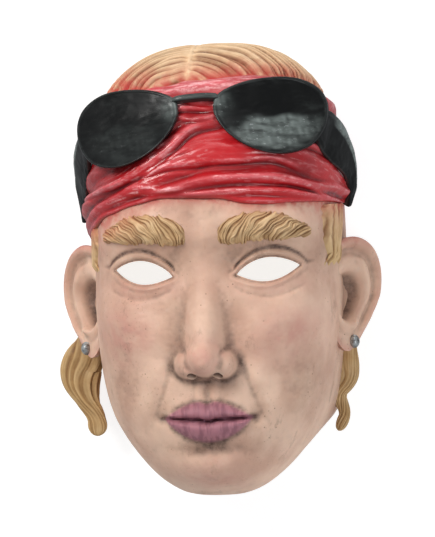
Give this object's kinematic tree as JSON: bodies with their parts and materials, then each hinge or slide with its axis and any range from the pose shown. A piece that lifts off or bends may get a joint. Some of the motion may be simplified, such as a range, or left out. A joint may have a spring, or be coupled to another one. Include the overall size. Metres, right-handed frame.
{
  "type": "caricature mask",
  "caption": "Hollow moulded latex face mask with a calm face, open eye holes, flared ears, a folded headscarf and sunglasses pushed up on the forehead.",
  "frame": {"origin": "middle of the bounding box on the plane of the open back rim, on which the mask lies", "axes": "+Z out of the face, +Y up the head to the crown, +X to the viewer's right"},
  "size_m": [0.2178, 0.2996, 0.1602],
  "materials": {
    "skin_latex": "painted latex, satin",
    "scarf_paint": "glossy red paint on latex",
    "hair_paint": "satin blond paint on latex",
    "glasses_paint": "semi-gloss black paint on latex",
    "stud_paint": "silver-grey paint on latex",
    "inside_latex": "bare latex, matte"
  },
  "bodies": {
    "root": {"mask": "skin_latex"}
  },
  "joints": []
}
